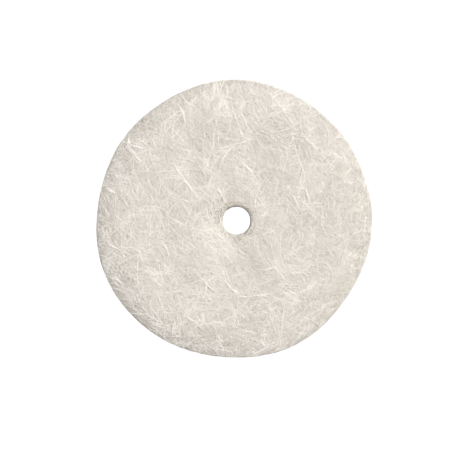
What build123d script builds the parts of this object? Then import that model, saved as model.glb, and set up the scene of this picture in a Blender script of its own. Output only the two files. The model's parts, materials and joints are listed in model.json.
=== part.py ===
"""A small felt polishing wheel: one disc of pressed wool felt with a hole for a rotary-tool mandrel.

The wheel lies flat. Its origin is on the axis of the arbor bore, half-way through the felt, +Z points
out of the front face, and the lengths are in millimetres.
"""

import os

from build123d import *

# The disc, as it is punched out of felt sheet.
wheel_diameter = 25.4
felt_thickness = 3.2

# The bore was punched a little off the disc's middle, so the rim is centred here, seen from the bore.
rim_centre = (-0.23, 0.08)

# The arbor bore, for a mandrel shank of 3/32 in (2.38 mm).
bore_diameter = 2.5
bore_lip_radius = 0.35

# Each face is flat in its middle and rolls down towards the rim, where the punch drew the felt with it.
flat_face_radius = 10.2
rim_drop = 0.22
rim_edge_radius = 0.4

rim_radius = wheel_diameter / 2
half_thickness = felt_thickness / 2
rim_half_height = half_thickness - rim_drop
bore_radius = bore_diameter / 2

os.makedirs("parts", exist_ok=True)

# The profile of one half of the felt is drawn from the axis out to the rim, and turned once round.
wheel_plane = Plane(origin=(rim_centre[0], rim_centre[1], 0), x_dir=(1, 0, 0), z_dir=(0, -1, 0))

with BuildPart() as felt_disc:
    with BuildSketch(wheel_plane):
        with BuildLine():
            top = Line((0, half_thickness), (flat_face_radius, half_thickness))
            roll = TangentArc(top @ 1, (rim_radius, rim_half_height), tangent=top % 1)
            rim = Line(roll @ 1, (rim_radius, -rim_half_height))
            bottom = Line((0, -half_thickness), (flat_face_radius, -half_thickness))
            TangentArc(bottom @ 1, rim @ 1, tangent=bottom % 1)
            Line(top @ 0, bottom @ 0)
        make_face()
    revolve(axis=Axis(wheel_plane.origin, (0, 0, 1)))
    rim_edges = felt_disc.edges().filter_by(GeomType.CIRCLE).filter_by(
        lambda edge: abs(edge.radius - rim_radius) < 0.01
    )
    fillet(rim_edges, radius=rim_edge_radius)

    # The bore, square to the faces, with the soft lip that the felt keeps at each mouth.
    Hole(radius=bore_radius)
    bore_mouths = felt_disc.edges().filter_by(GeomType.CIRCLE).filter_by(
        lambda edge: abs(edge.radius - bore_radius) < 0.01
    )
    fillet(bore_mouths, radius=bore_lip_radius)

felt_disc.part.label = "felt_disc"
export_step(felt_disc.part, "parts/felt_disc.step")

size = felt_disc.part.bounding_box().size
print("felt_disc", "valid", felt_disc.part.is_valid, "volume", round(felt_disc.part.volume, 2))
print("size", [round(length, 3) for length in size])
print("bore wall", round(felt_thickness - 2 * bore_lip_radius, 3))
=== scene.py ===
"""The looks of a small felt polishing wheel.

The wheel is one disc of pressed wool. Its body is a matted surface that follows the CAD disc, and the
wool itself lies all over it: thousands of curved fibres, each a closed tube, in the faces, round the
rim and down the bore. Lengths are in millimetres until a piece's mesh or the camera is made. The floor
and the lamps are in metres.
"""

import json
import math

import bpy
import numpy as np
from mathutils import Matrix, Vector

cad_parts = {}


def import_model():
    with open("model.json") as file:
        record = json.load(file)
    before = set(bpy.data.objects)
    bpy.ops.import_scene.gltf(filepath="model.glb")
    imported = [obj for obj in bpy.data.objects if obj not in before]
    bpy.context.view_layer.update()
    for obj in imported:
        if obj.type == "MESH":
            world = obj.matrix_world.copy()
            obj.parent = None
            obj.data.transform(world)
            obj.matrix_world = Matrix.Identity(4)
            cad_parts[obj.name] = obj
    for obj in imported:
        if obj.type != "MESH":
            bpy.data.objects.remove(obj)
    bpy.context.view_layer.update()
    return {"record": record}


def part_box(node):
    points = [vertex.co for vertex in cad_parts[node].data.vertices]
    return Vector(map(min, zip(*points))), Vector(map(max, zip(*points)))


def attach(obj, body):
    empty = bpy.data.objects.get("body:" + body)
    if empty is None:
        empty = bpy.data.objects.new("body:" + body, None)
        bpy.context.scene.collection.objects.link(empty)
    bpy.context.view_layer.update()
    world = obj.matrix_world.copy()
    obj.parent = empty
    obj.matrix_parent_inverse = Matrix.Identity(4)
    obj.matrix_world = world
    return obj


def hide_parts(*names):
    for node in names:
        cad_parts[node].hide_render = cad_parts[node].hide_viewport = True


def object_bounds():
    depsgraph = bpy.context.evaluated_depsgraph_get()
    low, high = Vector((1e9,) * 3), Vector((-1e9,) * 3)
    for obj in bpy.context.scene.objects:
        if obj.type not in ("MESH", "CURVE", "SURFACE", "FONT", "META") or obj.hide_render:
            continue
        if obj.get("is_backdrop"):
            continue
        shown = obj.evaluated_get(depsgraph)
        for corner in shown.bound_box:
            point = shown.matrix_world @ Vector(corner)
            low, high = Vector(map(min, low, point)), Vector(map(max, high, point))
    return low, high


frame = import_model()

MM = 0.001
TURN = 2 * math.pi

# The disc, as the CAD has it. The rim's centre lies a little off the bore's, which is the origin.
box_low, box_high = (np.array(corner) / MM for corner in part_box("felt_disc"))
rim_centre = (box_low[:2] + box_high[:2]) / 2
rim_radius = (box_high[0] - box_low[0]) / 2
half_thickness = box_high[2]
bore_mount = next(m for m in frame["record"]["mounts"] if m["name"] == "arbor_bore")
bore_radius = bore_mount["dims"]["r_mm"]

# How the felt's section departs from a plain ring: each face falls away in a shallow crown towards the
# rim and towards the bore, and ends in a small round corner.
rim_crown = {"width": 3.2, "depth": 0.66, "corner": 0.12}
lip_crown = {"width": 1.0, "depth": 0.12, "corner": 0.1}
crown_power = 1.5

# The loose wool at the rim, past the CAD's disc, how far the bore's mouths and its waist have worn back,
# and how far out from the bore the painted shade round its lip reaches.
rim_wool = 0.03
mouth_wear = 0.14
waist_wear = 0.07
lip_reach = 0.5

# The edge of a face has many points near its corner, and the section as a whole has even, fine ones.
edge_points = 120
edge_crowding = 3
section_spacing = 0.01

# The wool was carded before it was felted, so most fibres lie this way across both faces.
carded_way = math.radians(140)

# Handling has fluffed up the rim's wool on this side of the wheel, and left it flat on the other. The
# fibres' tones also spread wider here and narrower on the side towards the key lamp: painted shading
# contrast.
fluffed_side = math.radians(220)
fluff_swing = 0.4

# The outline isn't a true circle: waves round the rim, as (how many, height in mm, phase in degrees).
rim_waves = [
    (2, 0.08, 135),
    (3, 0.08, -90),
    (4, 0.05, 75),
    (5, 0.05, 20),
    (7, 0.04, -75),
]

# Where the front's wool is paler or darker than the rest: (x, y, reach, how much paler).
front_patches = [
    (-1.7, -1.3, 1.5, 0.38),
    (-1.1, -2.9, 1.4, 0.22),
    (-8.2, 8.7, 1.3, -0.5),
    (-10.8, 5.2, 1.1, -0.2),
    (-8.9, 5.8, 0.9, 0.16),
    (2.6, 10.8, 2.0, 0.05),
    (5.1, 8.2, 1.3, -0.14),
    (-8.4, -4.8, 1.4, -0.17),
    (-5.2, -1.7, 1.1, -0.13),
    (-5.4, -6.9, 1.0, -0.12),
    (-3.4, 3.5, 0.9, -0.12),
    (2.6, -4.6, 1.5, -0.15),
    (4.4, -4.6, 0.9, 0.14),
    (-0.5, -6.9, 1.0, 0.14),
    (7.6, -8.9, 1.2, -0.18),
]

# The strands that stand out on the front: (x, y, way in degrees, length, turn in degrees).
front_strands = [
    (-6.0, 5.8, -58, 4.6, 8),
    (-5.6, 11.1, -50, 3.1, -42),
    (-6.6, 9.2, 28, 1.7, 0),
    (-7.2, 3.5, 50, 2.4, -90),
    (0.0, 6.8, 203, 2.9, 62),
    (-1.8, 3.2, -66, 2.0, 4),
    (-6.1, -0.4, -40, 1.9, -4),
    (-4.6, -1.8, -28, 1.2, 0),
    (-3.6, -4.7, -58, 3.4, 30),
    (-1.1, -5.4, -47, 1.7, 0),
    (-7.8, -5.1, -33, 1.7, 0),
    (-8.1, -9.1, -25, 2.4, 22),
    (-8.0, -9.1, -24, 2.3, 20),
    (-5.7, -9.2, -92, 1.5, 4),
    (-5.6, -9.3, -90, 1.3, 0),
    (-5.0, -8.5, -30, 2.3, -8),
    (-12.0, -1.4, -60, 1.8, 40),
    (2.6, -3.1, -38, 2.8, -14),
    (3.4, -4.0, -60, 1.3, 0),
    (4.1, -3.9, -28, 2.6, -10),
    (2.1, -2.0, -28, 1.0, 0),
    (8.2, -2.1, -48, 1.5, 0),
    (0.0, -4.2, -52, 3.2, 0),
    (0.0, -6.9, -6, 3.4, 24),
    (0.6, -8.9, 64, 2.0, -28),
    (2.6, -7.5, -45, 1.5, 0),
    (3.2, 9.7, -32, 1.7, 26),
    (6.1, 7.7, -28, 2.2, -16),
    (1.9, 4.1, 40, 1.3, 0),
    (4.9, 2.5, -48, 1.7, -42),
    (0.0, 6.9, 4, 1.7, 34),
    (6.5, 0.9, -33, 1.2, 0),
]

# The pale tufts that lie in from the front's rim, given the same way.
front_tufts = [
    (-10.0, 7.0, -42, 2.2, 0),
    (-9.9, 6.9, -16, 1.5, 0),
    (-10.0, 7.6, -88, 1.0, 0),
    (-11.6, 4.8, -42, 1.7, 0),
    (-11.3, 5.6, -44, 1.2, 0),
    (-12.1, 3.0, -25, 1.0, 0),
    (-11.9, -5.2, -20, 1.2, 0),
    (-2.3, -10.8, -50, 1.4, 0),
    (-1.7, -10.4, -78, 1.4, 0),
    (2.2, -10.8, -72, 1.2, 0),
]

# The body's mesh.
body_columns = 400
body_spacing = 0.125

# The clumps of the matted wool: wavelengths and height of the relief.
clump_waves = 60
clump_sizes = (0.8, 3.2)
clump_height = 0.028

# How much of the faces' unevenness the cut walls keep, and how sharply it falls off towards them.
cut_looseness = 0.2
loose_power = 3

# The wool's direction and tone drift across the wheel: wavelengths and number of waves.
drift_sizes = (4.0, 12.0)
drift_waves = 20
mottle_sizes = (1.5, 7.0)
mottle_waves = 40

# A placed strand's fibres differ in length by these factors.
strand_lengths = (0.8, 1.1)

# How many places are drawn for each one that is wanted.
spare_places = 12

# Where the faces end and the cut walls begin, as the share of the surface that runs outwards.
wall_share = 0.5

# A fibre's tips are this much thinner than its middle, and it tapers close to them.
tip_taper = 0.65
tip_power = 4

# A fibre rises out of the mat steeply at its ends, and ripples this many times along its length.
arch_power = 0.5
ripple_turns = (0.7, 2.2)

# How sharply the painted shade gathers at the very rim, and the cool tint of the wool there.
rim_shade_power = 14
edge_tint_power = 2

# Seeds of the noise in the clumps, in the wool's direction and in its tone.
CLUMP_SEED = 20
DRIFT_SEED = 21
MOTTLE_SEED = 22


# ---------------------------------------------------------------------------------------------------
# The felt's smooth surface, and the clumps on it
# ---------------------------------------------------------------------------------------------------


def soft_edge(width, depth, corner):
    """A worn edge, as (distance in from the edge, drop below the face), from the side up to the face."""
    inwards = width * np.linspace(0, 1, edge_points) ** edge_crowding
    crown = depth * (1 - inwards / width) ** crown_power
    turned = np.clip(1 - inwards / corner, 0, 1)
    return inwards, crown + corner * (1 - np.sqrt(1 - turned**2))


def felt_section():
    """The felt's closed section as (length along it, distance out from the bore, height).

    It runs from the middle of the bore's wall up, out over the front face, down the rim and back in.
    """
    span = rim_radius - bore_radius
    lip_out, lip_drop = soft_edge(**lip_crown)
    rim_in, rim_drop = soft_edge(**rim_crown)
    out = np.concatenate([[waist_wear - mouth_wear], lip_out, span - rim_in[::-1], [span]])
    height = np.concatenate([[0], half_thickness - lip_drop, half_thickness - rim_drop[::-1], [0]])
    out = np.concatenate([out, out[-2::-1]])
    height = np.concatenate([height, -height[-2::-1]])
    along = np.concatenate([[0], np.cumsum(np.hypot(np.diff(out), np.diff(height)))])
    even = np.arange(0, along[-1], section_spacing)
    return even, np.interp(even, along, out), np.interp(even, along, height)


section_along, section_out, section_height = felt_section()
section_length = section_along[-1] + section_along[1]
section_slope = np.gradient(section_out, section_along), np.gradient(section_height, section_along)


def on_section(along, values):
    """A section value at some length along it, which runs round and round."""
    return np.interp(along, section_along, values, period=section_length)


def rim_reach(angle):
    """The rim's radius about its own centre."""
    waves = sum(h * np.cos(n * angle - math.radians(phase)) for n, h, phase in rim_waves)
    return rim_radius + rim_wool + waves


def felt_surface(along, angle):
    """Points of the smooth felt, their outward normals, and their distance from the wheel's axis."""
    share = on_section(along, section_out) / (rim_radius - bore_radius)
    outwards = np.stack([np.cos(angle), np.sin(angle)], -1)
    bore = (bore_radius + mouth_wear) * outwards
    rim = rim_centre + rim_reach(angle)[..., None] * outwards
    across = (1 - share)[..., None] * bore + share[..., None] * rim
    points = np.concatenate([across, on_section(along, section_height)[..., None]], -1)
    slope_out, slope_up = (on_section(along, slope) for slope in section_slope)
    normals = np.concatenate([-slope_up[..., None] * outwards, slope_out[..., None]], -1)
    normals /= np.linalg.norm(normals, axis=-1, keepdims=True)
    return points, normals, np.linalg.norm(across, axis=-1)


def cloud(points, sizes, waves, seed):
    """Smooth noise of about -1 to 1: many plane waves of those wavelengths, in all directions."""
    draw = np.random.default_rng(seed)
    ways = draw.normal(size=(waves, 3))
    ways /= np.linalg.norm(ways, axis=1, keepdims=True)
    lengths = np.exp(draw.uniform(math.log(sizes[0]), math.log(sizes[1]), waves))
    phases = draw.uniform(0, TURN, waves)
    total = np.zeros(points.shape[:-1])
    for way, length, phase in zip(ways, lengths, phases):
        total += np.sin(points @ way * (TURN / length) + phase)
    return total / math.sqrt(waves)


def loose(normals):
    """How uneven the felt is: all of it on the faces, less on the walls that the punch cut."""
    return cut_looseness + (1 - cut_looseness) * np.abs(normals[..., 2]) ** loose_power


def clumps(points, normals):
    """How far the matted wool stands above or below the smooth felt."""
    return clump_height * loose(normals) * cloud(points, clump_sizes, clump_waves, CLUMP_SEED)


# ---------------------------------------------------------------------------------------------------
# Meshes
# ---------------------------------------------------------------------------------------------------


def new_piece(name, vertices, faces, material):
    """A smooth mesh object from points in millimetres."""
    mesh = bpy.data.meshes.new(name)
    mesh.from_pydata(vertices.reshape(-1, 3) * MM, [], faces, shade_flat=False)
    piece = bpy.data.objects.new(name, mesh)
    bpy.context.collection.objects.link(piece)
    mesh.materials.append(material)
    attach(piece, "root")
    return piece


def felt_body(material):
    """The matted mass of the wheel, one closed ring-shaped mesh."""
    rows = round(section_length / body_spacing)
    along = np.linspace(0, section_length, rows, endpoint=False)
    angle = np.linspace(0, TURN, body_columns, endpoint=False)
    grid_along, grid_angle = np.meshgrid(along, angle, indexing="ij")
    points, normals, _ = felt_surface(grid_along, grid_angle)
    points = points + normals * clumps(points, normals)[..., None]
    row, column = np.meshgrid(np.arange(rows), np.arange(body_columns), indexing="ij")
    next_row, next_column = (row + 1) % rows, (column + 1) % body_columns
    corners = [(row, column), (row, next_column), (next_row, next_column), (next_row, column)]
    faces = np.stack([r * body_columns + c for r, c in corners], -1).reshape(-1, 4)
    return new_piece("felt_body", points, faces.tolist(), material)


# ---------------------------------------------------------------------------------------------------
# Fibres
# ---------------------------------------------------------------------------------------------------


def wander(start_along, start_angle, heading, length, bend, crimp, crimp_length, steps, draw):
    """Paths of fibres over the smooth felt, as points and normals, one row for each fibre.

    heading is the angle from the way out along the section. A fibre bends steadily and crimps too.
    """
    count = len(start_along)
    stride = length / (steps - 1)
    phase = draw.uniform(0, TURN, count)
    along, angle, heading = start_along.copy(), start_angle.copy(), heading.copy()
    points, normals = [], []
    for step in range(steps):
        point, normal, radius = felt_surface(along, angle)
        points.append(point)
        normals.append(normal)
        wave = np.cos(TURN * stride * step / crimp_length + phase)
        turned = stride * np.sin(heading) / radius
        heading += stride * (bend + crimp * wave) - turned * on_section(along, section_slope[0])
        along += stride * np.cos(heading)
        angle += turned
    return np.stack(points, 1), np.stack(normals, 1)


def fibre_tubes(points, normals, radii, sides):
    """Vertices and faces of closed tubes along the paths, each thinner towards its ends."""
    count, steps, _ = points.shape
    run = np.gradient(points, axis=1)
    run /= np.linalg.norm(run, axis=-1, keepdims=True)
    side = np.cross(run, normals)
    side /= np.linalg.norm(side, axis=-1, keepdims=True)
    up = np.cross(side, run)
    place = np.linspace(-1, 1, steps)
    thick = radii[:, None] * (1 - tip_taper * np.abs(place) ** tip_power)
    turn = np.arange(sides) * TURN / sides
    ring = np.cos(turn)[:, None] * side[:, :, None, :] + np.sin(turn)[:, None] * up[:, :, None, :]
    vertices = points[:, :, None, :] + thick[:, :, None, None] * ring
    index = np.arange(count * steps * sides).reshape(count, steps, sides)
    near, far = index[:, :-1], index[:, 1:]
    walls = np.stack([near, np.roll(near, -1, 2), np.roll(far, -1, 2), far], -1).reshape(-1, 4)
    caps = np.concatenate([index[:, 0, ::-1], index[:, -1]])
    return vertices, walls.tolist() + caps.tolist()


def lie(along, angle):
    """The heading of the wool's grain: the carded way on the faces, round the wheel on the cut walls."""
    outward = on_section(along, section_slope[0])
    across_face = np.sign(outward) * (carded_way - angle)
    return np.where(np.abs(outward) > wall_share, across_face, math.pi / 2)


def edge_share(points):
    """How near points are to the rim: 0 on the flat of the faces, rising to 1 at the edge."""
    reach = np.linalg.norm(points[..., :2] - rim_centre, axis=-1)
    flat = rim_radius - rim_crown["width"]
    return np.clip((reach - flat) / (rim_radius - flat), 0, 1)


def fluff(points):
    """How much the wool stands up and apart, against 1 on the flat of the faces."""
    angle = np.arctan2(points[..., 1], points[..., 0])
    return 1 + fluff_swing * edge_share(points) * np.cos(angle - fluffed_side)


def scatter(region, count, one_sided, draw):
    """Places over a region of the section, as lengths along it and angles round it.

    They are spread evenly, or more on the fluffed side the nearer one_sided is to 1. Many more places are
    drawn than are wanted, because those near the axis, where a given angle is narrow, are mostly dropped.
    """
    along = draw.uniform(*region, count * spare_places)
    angle = draw.uniform(0, TURN, count * spare_places)
    _, _, radius = felt_surface(along, angle)
    share = radius / rim_radius * (1 + one_sided * np.cos(angle - fluffed_side)) / (1 + one_sided)
    kept = np.flatnonzero(draw.uniform(0, 1, len(share)) < share)[:count]
    return along[kept], angle[kept]


def lip_share(points):
    """How near points are to the bore: 1 at its wall, falling to 0 a short way out."""
    past_wall = np.linalg.norm(points[..., :2], axis=-1) - bore_radius - mouth_wear
    return np.clip(1 - past_wall / lip_reach, 0, 1)


def patches(points, normals):
    """How much paler the wool is at points of the front; nothing elsewhere."""
    total = np.zeros(len(points))
    for x, y, reach, amount in front_patches:
        total += amount * np.exp(-((points[:, 0] - x) ** 2 + (points[:, 1] - y) ** 2) / reach**2)
    return total * (normals[:, 2] > 0) * (1 - lip_share(points))


def painted_rim_and_lip_shade(points, look):
    """Painted shade on the wool: some towards the rim, most of all at the very rim, and round the bore."""
    edge = edge_share(points)
    shade = look["edge_shade"] * edge + look["rim_shade"] * edge**rim_shade_power
    return shade + look["lip_shade"] * lip_share(points)


def fibre_heights(path, normals, look, draw):
    """How high each fibre runs: it comes up out of the mat, ripples, and goes down into it again."""
    count, steps, _ = path.shape
    place = np.linspace(0, 1, steps)
    arch = np.sin(math.pi * place) ** arch_power
    lift = draw.uniform(*look["lift"], count)
    waves = draw.uniform(*ripple_turns, (count, 1)) * place + draw.uniform(0, 1, (count, 1))
    ripple = look["ripple"] * np.sin(TURN * waves)
    height = (lift[:, None] + look["sink"]) * arch - look["sink"] + ripple
    return height * loose(normals) * fluff(path) + clumps(path, normals)


def store(piece, name, values, sides):
    """Keeps a value for each step of each fibre on the ring of vertices there, for its material."""
    per_vertex = np.repeat(values, sides).astype(np.float32)
    piece.data.attributes.new(name, "FLOAT", "POINT").data.foreach_set("value", per_vertex)


def fibre_piece(name, along, angle, heading, bend, length, shade, look, material, draw):
    """One piece of many fibres that start at these places over the felt, one for each value."""
    count = len(along)
    crimp = draw.uniform(0, look["crimp"], count)
    crimp_length = draw.uniform(*look["crimp_length"], count)
    steps = look["steps"]
    path, normals = wander(along, angle, heading, length, bend, crimp, crimp_length, steps, draw)
    points = path + normals * fibre_heights(path, normals, look, draw)[..., None]
    radii = draw.uniform(*look["radius"], count)
    vertices, faces = fibre_tubes(points, normals, radii, look["sides"])
    piece = new_piece(name, vertices, faces, material)
    own_shade = shade + draw.normal(0, look["shade_stray"], count)
    # The stored shade has the painted shade at the rim and round the bore taken off it.
    store(piece, "shade", own_shade[:, None] - painted_rim_and_lip_shade(path, look), look["sides"])
    store(piece, "edge", edge_share(path) ** edge_tint_power, look["sides"])
    return piece


def tufts_over(region, tufts, look, draw):
    """Tufts over a region of the section: lengths along, angles, radii, headings, bends and shades."""
    along, angle = scatter(region, tufts, look["one_sided"], draw)
    where, facing, radius = felt_surface(along, angle)
    drift = look["drift"] * cloud(where, drift_sizes, drift_waves, DRIFT_SEED)
    tangle = draw.normal(0, look["spread"], tufts) * (1 + edge_share(where))
    heading = lie(along, angle) + drift + tangle
    bend = draw.normal(0, look["bend"], tufts)
    mottle = look["mottle"] * cloud(where, mottle_sizes, mottle_waves, MOTTLE_SEED)
    middle = sum(look["shade"]) / 2
    # The tones spread wider on the fluffed side, away from the key lamp: painted shading contrast.
    contrast = (draw.uniform(*look["shade"], tufts) - middle) * fluff(where)
    shade = middle + contrast + (mottle + patches(where, facing))
    return along, angle, radius, heading, bend, shade


def lay_fibres(name, region, count, look, material, seed):
    """One piece of many fibres, in tufts that lie over a region of the section."""
    draw = np.random.default_rng(seed)
    tufts = tufts_over(region, count // look["tuft"], look, draw)
    along, angle, radius, heading, bend, shade = (np.repeat(values, look["tuft"]) for values in tufts)
    count = len(along)
    along = along + draw.normal(0, look["tuft_width"], count)
    angle = angle + draw.normal(0, look["tuft_width"], count) / radius
    heading = heading + draw.normal(0, look["stray"], count)
    bend = bend + draw.normal(0, look["bend"] / 2, count)
    shortest, longest = look["length"]
    length = shortest + (longest - shortest) * draw.uniform(0, 1, count) ** 2
    return fibre_piece(name, along, angle, heading, bend, length, shade, look, material, draw)


def place_fibres(name, strands, look, material, seed):
    """One piece of the fibres of strands on the front, rows of (x, y, way, length, turn).

    The felt's sections are centred on the bore at its wall and on the rim's centre at the rim, so a place
    between the two is taken from a centre between theirs.
    """
    draw = np.random.default_rng(seed)
    x, y, way, length, turn = np.repeat(np.array(strands), look["tuft"], axis=0).T
    x = x + draw.normal(0, look["tuft_width"], len(x))
    y = y + draw.normal(0, look["tuft_width"], len(y))
    share = (np.hypot(x, y) - bore_radius) / (rim_radius - bore_radius)
    x, y = x - share * rim_centre[0], y - share * rim_centre[1]
    angle = np.arctan2(y, x)
    front = section_along < section_length / 2
    along = np.interp(np.hypot(x, y) - bore_radius, section_out[front], section_along[front])
    heading = np.radians(way) - angle + draw.normal(0, look["stray"], len(x))
    bend = np.radians(turn) / length
    length = length * draw.uniform(*strand_lengths, len(x))
    shade = draw.uniform(*look["shade"], len(x))
    return fibre_piece(name, along, angle, heading, bend, length, shade, look, material, draw)


# ---------------------------------------------------------------------------------------------------
# Materials
# ---------------------------------------------------------------------------------------------------

# The surface of wool, on the mat and on the fibres.
wool_specular = 0.25
wool_sheen = 0.15
wool_sheen_roughness = 0.5
mat_roughness = 0.95
fibre_roughness = 0.8

# Noise in the materials, in waves per metre, and the part of its range that the colours use.
mat_tone_scale = 2500
mat_bump_scale = 6000
fibre_tone_scale = 1200
noise_low = 0.3
noise_high = 0.7

# The fine bump of the mat: its strength, and its height in millimetres.
bump_strength = 0.38
bump_height = 0.03

# How much a fibre's tone varies along it, and how far apart in the noise fibres of unlike shades are.
fibre_tone_swing = 0.2
fibre_noise_gap = 300.0

# Colours. The mat's are darker than the fibres', as painted shade in the gaps between them.
mat_dark = (0.44, 0.40, 0.345)
mat_light = (0.68, 0.63, 0.56)
edge_tint = (0.972, 0.985, 1.0)


def wool_material(name, dark, light, roughness):
    """A cream wool material, and the nodes that its colour and bump are built on."""
    material = bpy.data.materials.new(name)
    material.use_nodes = True
    nodes, links = material.node_tree.nodes, material.node_tree.links
    shader = nodes["Principled BSDF"]
    shader.inputs["Roughness"].default_value = roughness
    shader.inputs["Specular IOR Level"].default_value = wool_specular
    shader.inputs["Sheen Weight"].default_value = wool_sheen
    shader.inputs["Sheen Roughness"].default_value = wool_sheen_roughness
    place = nodes.new("ShaderNodeTexCoord").outputs["Object"]
    mix = nodes.new("ShaderNodeMix")
    mix.data_type = "RGBA"
    mix.inputs["A"].default_value = (*dark, 1)
    mix.inputs["B"].default_value = (*light, 1)
    links.new(mix.outputs["Result"], shader.inputs["Base Color"])
    return material, nodes, links, shader, place, mix


def noise_node(nodes, links, place, scale):
    """A noise texture over the wool."""
    node = nodes.new("ShaderNodeTexNoise")
    node.inputs["Scale"].default_value = scale
    links.new(place, node.inputs["Vector"])
    return node


def stretched(nodes, links, noise, low, high):
    """The middle part of a noise's range, stretched to run from low to high."""
    node = nodes.new("ShaderNodeMapRange")
    node.inputs["From Min"].default_value = noise_low
    node.inputs["From Max"].default_value = noise_high
    node.inputs["To Min"].default_value = low
    node.inputs["To Max"].default_value = high
    links.new(noise.outputs["Fac"], node.inputs["Value"])
    return node.outputs["Result"]


def stored(nodes, name):
    """A value that the fibres keep on their vertices."""
    node = nodes.new("ShaderNodeAttribute")
    node.attribute_name = name
    return node.outputs["Fac"]


def body_material():
    """The matted wool between the fibres: darker, as painted shade in the gaps, and mottled and finely
    rough.
    """
    made = wool_material("wool_mat", mat_dark, mat_light, mat_roughness)
    material, nodes, links, shader, place, mix = made
    tone = noise_node(nodes, links, place, mat_tone_scale)
    links.new(stretched(nodes, links, tone, 0, 1), mix.inputs["Factor"])
    bump = nodes.new("ShaderNodeBump")
    bump.inputs["Strength"].default_value = bump_strength
    bump.inputs["Distance"].default_value = bump_height * MM
    grain = noise_node(nodes, links, place, mat_bump_scale)
    links.new(grain.outputs["Fac"], bump.inputs["Height"])
    links.new(bump.outputs["Normal"], shader.inputs["Normal"])
    return material


def fibre_tone(nodes, links, place):
    """A fibre's stored shade, varied along it by noise that is unlike its neighbours'."""
    shade = stored(nodes, "shade")
    apart = nodes.new("ShaderNodeMath")
    apart.operation = "MULTIPLY"
    apart.inputs[1].default_value = fibre_noise_gap
    links.new(shade, apart.inputs[0])
    noise = noise_node(nodes, links, place, fibre_tone_scale)
    noise.noise_dimensions = "4D"
    links.new(apart.outputs["Value"], noise.inputs["W"])
    total = nodes.new("ShaderNodeMath")
    total.operation = "ADD"
    total.use_clamp = True
    links.new(shade, total.inputs[0])
    links.new(stretched(nodes, links, noise, -fibre_tone_swing, fibre_tone_swing), total.inputs[1])
    return total.outputs["Value"]


def fibre_material(name, dark, light):
    """The wool of the fibres, from dark to light by their own tone, and cooler towards the rim."""
    material, nodes, links, shader, place, mix = wool_material(name, dark, light, fibre_roughness)
    links.new(fibre_tone(nodes, links, place), mix.inputs["Factor"])
    cool = nodes.new("ShaderNodeMix")
    cool.data_type = "RGBA"
    cool.blend_type = "MULTIPLY"
    cool.inputs["B"].default_value = (*edge_tint, 1)
    links.new(stored(nodes, "edge"), cool.inputs["Factor"])
    links.new(mix.outputs["Result"], cool.inputs["A"])
    links.new(cool.outputs["Result"], shader.inputs["Base Color"])
    return material


# ---------------------------------------------------------------------------------------------------
# The wheel
# ---------------------------------------------------------------------------------------------------

# What fibres of a kind are like, in millimetres and radians. A pair is a range.
#   one_sided    how much more of them lies on the fluffed side, from 0 to 1
#   tuft         fibres in a tuft, and tuft_width is how far from its middle they start
#   drift        how much the way they lie drifts across the wheel
#   spread       how much tufts differ in direction, and stray is how much fibres differ in a tuft
#   length       of a fibre, and radius is its thickest part's
#   lift, sink   how high a fibre's middle rises, and how deep its ends go; ripple is added
#   bend, crimp  its steady turn and its wavy turn for each mm, and crimp_length is one wave's
#   steps        rings along its tube, and sides is how many points each has
#   shade        from dark at 0 to light at 1, shade_stray from fibre to fibre, mottle across the wheel
#   edge_shade   painted shade towards the rim, rim_shade at the very rim and lip_shade at the bore
mat_look = {
    "one_sided": 0.0,
    "tuft": 8,
    "tuft_width": 0.3,
    "drift": 0.35,
    "spread": 0.62,
    "stray": 0.28,
    "length": (0.9, 4.0),
    "radius": (0.012, 0.025),
    "lift": (0.0, 0.11),
    "sink": 0.05,
    "ripple": 0.03,
    "bend": 0.2,
    "crimp": 0.9,
    "crimp_length": (0.8, 2.8),
    "steps": 8,
    "sides": 3,
    "shade": (0.25, 0.68),
    "shade_stray": 0.1,
    "mottle": 0.06,
    "edge_shade": 0.1,
    "rim_shade": 0.26,
    "lip_shade": 0.29,
}
# The loose hairs, and the wisps and strands made like them, are lighter than the mat's fibres: partly
# paler wool, partly painted light on the topmost fibres.
hair_look = dict(
    mat_look,
    one_sided=0.2,
    tuft=3,
    spread=0.7,
    stray=0.3,
    length=(0.8, 5.0),
    radius=(0.012, 0.026),
    lift=(0.07, 0.15),
    ripple=0.05,
    edge_shade=0.0,
    rim_shade=0.15,
    steps=16,
    sides=4,
    shade=(0.75, 0.95),
)
wisp_look = dict(
    hair_look,
    one_sided=0.9,
    tuft=6,
    tuft_width=0.15,
    spread=0.6,
    stray=0.15,
    length=(0.8, 2.6),
)
strand_look = dict(
    hair_look,
    tuft=2,
    tuft_width=0.05,
    stray=0.05,
    radius=(0.018, 0.028),
    lift=(0.14, 0.18),
    crimp=0.45,
    shade=(0.89, 1.0),
)
tuft_look = dict(
    strand_look,
    tuft=7,
    tuft_width=0.14,
    stray=0.16,
    radius=(0.013, 0.024),
    lift=(0.1, 0.17),
)
edge_hair_look = dict(
    hair_look,
    length=(0.6, 2.4),
    shade=(0.6, 0.95),
)
# The cut walls' wool, also used in the bore, has a darker and wider range of tones than the mat's: partly
# painted shade along the rim's edge, partly more texture on the walls.
cut_look = dict(
    mat_look,
    tuft=5,
    length=(0.5, 2.8),
    lift=(0.0, 0.1),
    shade=(0.0, 0.8),
    shade_stray=0.15,
)

body = felt_body(body_material())
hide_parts("felt_disc")

# The stretches of the section, and the band where the wisps lie, from the front's outer part to just
# over its edge.
rim_middle = section_length / 2
face_ends = half_thickness, rim_middle - half_thickness
rim_ends = rim_middle - half_thickness, rim_middle + half_thickness
bore_ends = -half_thickness, half_thickness
back_ends = rim_middle + half_thickness, section_length - half_thickness
wisp_reach = 4.0
wisp_overhang = 0.3
wisp_ends = face_ends[1] - wisp_reach, face_ends[1] + wisp_overhang

wool = fibre_material("wool_fibre", dark=(0.60, 0.553, 0.494), light=(0.95, 0.908, 0.847))
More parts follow.
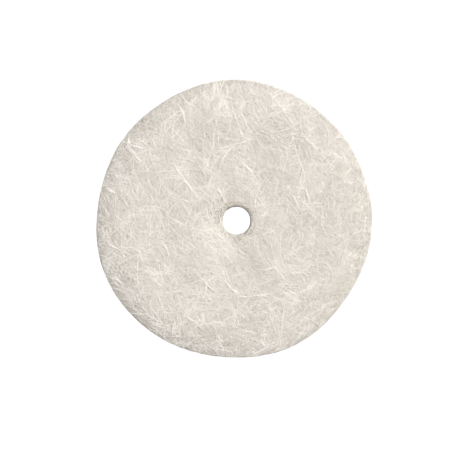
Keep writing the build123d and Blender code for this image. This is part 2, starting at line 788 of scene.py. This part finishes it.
# The bore's wool is darker than the rest: painted shade inside the bore.
bore_wool_painted_shade = fibre_material("bore_fibre", dark=(0.31, 0.285, 0.25), light=(0.58, 0.54, 0.485))
pale_wool = fibre_material("pale_fibre", dark=(0.70, 0.66, 0.615), light=(0.95, 0.915, 0.865))

# The mat's fibres come in several pieces, so that no mesh is too large.
face_pieces = 6
rim_pieces = 3
piece_fibres = 4400
FACE_SEED = 100
BACK_SEED = 200
RIM_SEED = 300

for number in range(face_pieces):
    lay_fibres(f"face_fibres_{number + 1}", face_ends, piece_fibres, mat_look, wool, FACE_SEED + number)
    lay_fibres(f"back_fibres_{number + 1}", back_ends, piece_fibres, mat_look, wool, BACK_SEED + number)
for number in range(rim_pieces):
    lay_fibres(f"rim_fibres_{number + 1}", rim_ends, piece_fibres, cut_look, wool, RIM_SEED + number)
lay_fibres("bore_fibres", bore_ends, count=600, look=cut_look, material=bore_wool_painted_shade, seed=310)

# The loose wool on top.
lay_fibres("face_hairs", face_ends, count=1100, look=hair_look, material=wool, seed=400)
lay_fibres("back_hairs", back_ends, count=1350, look=hair_look, material=wool, seed=401)
lay_fibres("rim_hairs", rim_ends, count=450, look=edge_hair_look, material=wool, seed=402)
lay_fibres("face_wisps", wisp_ends, count=260, look=wisp_look, material=wool, seed=500)
place_fibres("face_strands", front_strands, look=strand_look, material=wool, seed=501)
place_fibres("face_tufts", front_tufts, look=tuft_look, material=pale_wool, seed=502)

# ---------------------------------------------------------------------------------------------------
# Floor, light and camera
# ---------------------------------------------------------------------------------------------------

# The floor, in metres: a flat disc, and the round cove that it ends in, with the steps of its mesh.
floor_reach = 1.0
cove_radius = 0.15
cove_columns = 96
cove_steps = 13

# The floor's look, and the strength of the sky.
floor_grey = 0.12
floor_roughness = 0.9
floor_glow = 1.0
sky_strength = 0.38

# What the camera takes in: the width seen at the front face, and how far the picture's middle lies from
# the rim's centre.
view_width = 42.27
view_offset = (-0.36, -0.936)

# The camera's lens and sensor, in millimetres, and the nearest thing that it sees, in metres.
camera_lens = 200
camera_sensor = 36
clip_start = 0.01


def floor_material():
    """A matt white that glows enough to stay white away from the lamps."""
    material = bpy.data.materials.new("floor_white")
    material.use_nodes = True
    shader = material.node_tree.nodes["Principled BSDF"]
    shader.inputs["Base Color"].default_value = (floor_grey, floor_grey, floor_grey, 1)
    shader.inputs["Roughness"].default_value = floor_roughness
    shader.inputs["Emission Color"].default_value = (1, 1, 1, 1)
    shader.inputs["Emission Strength"].default_value = floor_glow
    return material


def floor():
    """A white floor that turns up into a low wall all round, so that no horizon shows behind the wheel."""
    bend_steps = np.linspace(0, math.pi / 2, cove_steps)
    column_angles = np.arange(cove_columns) * TURN / cove_columns
    bend, angle = np.meshgrid(bend_steps, column_angles, indexing="ij")
    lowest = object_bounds()[0][2]
    reach = floor_reach + cove_radius * np.sin(bend)
    height = lowest + cove_radius * (1 - np.cos(bend))
    rings = np.stack([reach * np.cos(angle), reach * np.sin(angle), height], -1)
    index = np.arange(bend.size).reshape(bend.shape)
    near, far = index[:-1], index[1:]
    cove = np.stack([near, np.roll(near, -1, 1), np.roll(far, -1, 1), far], -1).reshape(-1, 4)
    mesh = bpy.data.meshes.new("floor")
    mesh.from_pydata(rings.reshape(-1, 3), [], [index[0].tolist(), *cove.tolist()])
    mesh.materials.append(floor_material())
    stage = bpy.data.objects.new("floor", mesh)
    bpy.context.collection.objects.link(stage)
    stage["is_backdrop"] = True


def lamp(name, place, size, power):
    """A round, soft lamp at a place in metres, turned towards the wheel."""
    data = bpy.data.lights.new(name, "AREA")
    data.shape = "DISK"
    data.size = size
    data.energy = power
    light = bpy.data.objects.new(name, data)
    light.location = place
    light.rotation_euler = (-Vector(place)).to_track_quat("-Z", "Y").to_euler()
    bpy.context.collection.objects.link(light)


def world():
    """An even white sky."""
    sky = bpy.data.worlds.new("studio")
    sky.use_nodes = True
    sky.node_tree.nodes["Background"].inputs["Color"].default_value = (1, 1, 1, 1)
    sky.node_tree.nodes["Background"].inputs["Strength"].default_value = sky_strength
    bpy.context.scene.world = sky


def camera():
    """A long lens, straight above the front face."""
    data = bpy.data.cameras.new("camera")
    data.lens = camera_lens
    data.sensor_width = camera_sensor
    data.clip_start = clip_start
    middle = rim_centre + np.array(view_offset)
    away = view_width * data.lens / data.sensor_width
    eye = bpy.data.objects.new("camera", data)
    eye.location = np.array([*middle, half_thickness + away]) * MM
    bpy.context.collection.objects.link(eye)
    bpy.context.scene.camera = eye


floor()
world()
lamp("key", place=(0.28, 0.21, 0.35), size=0.22, power=2.6)
lamp("overhead", place=(0.0, 0.0, 0.5), size=0.35, power=1.22)
camera()
bpy.context.scene.view_settings.view_transform = "Standard"
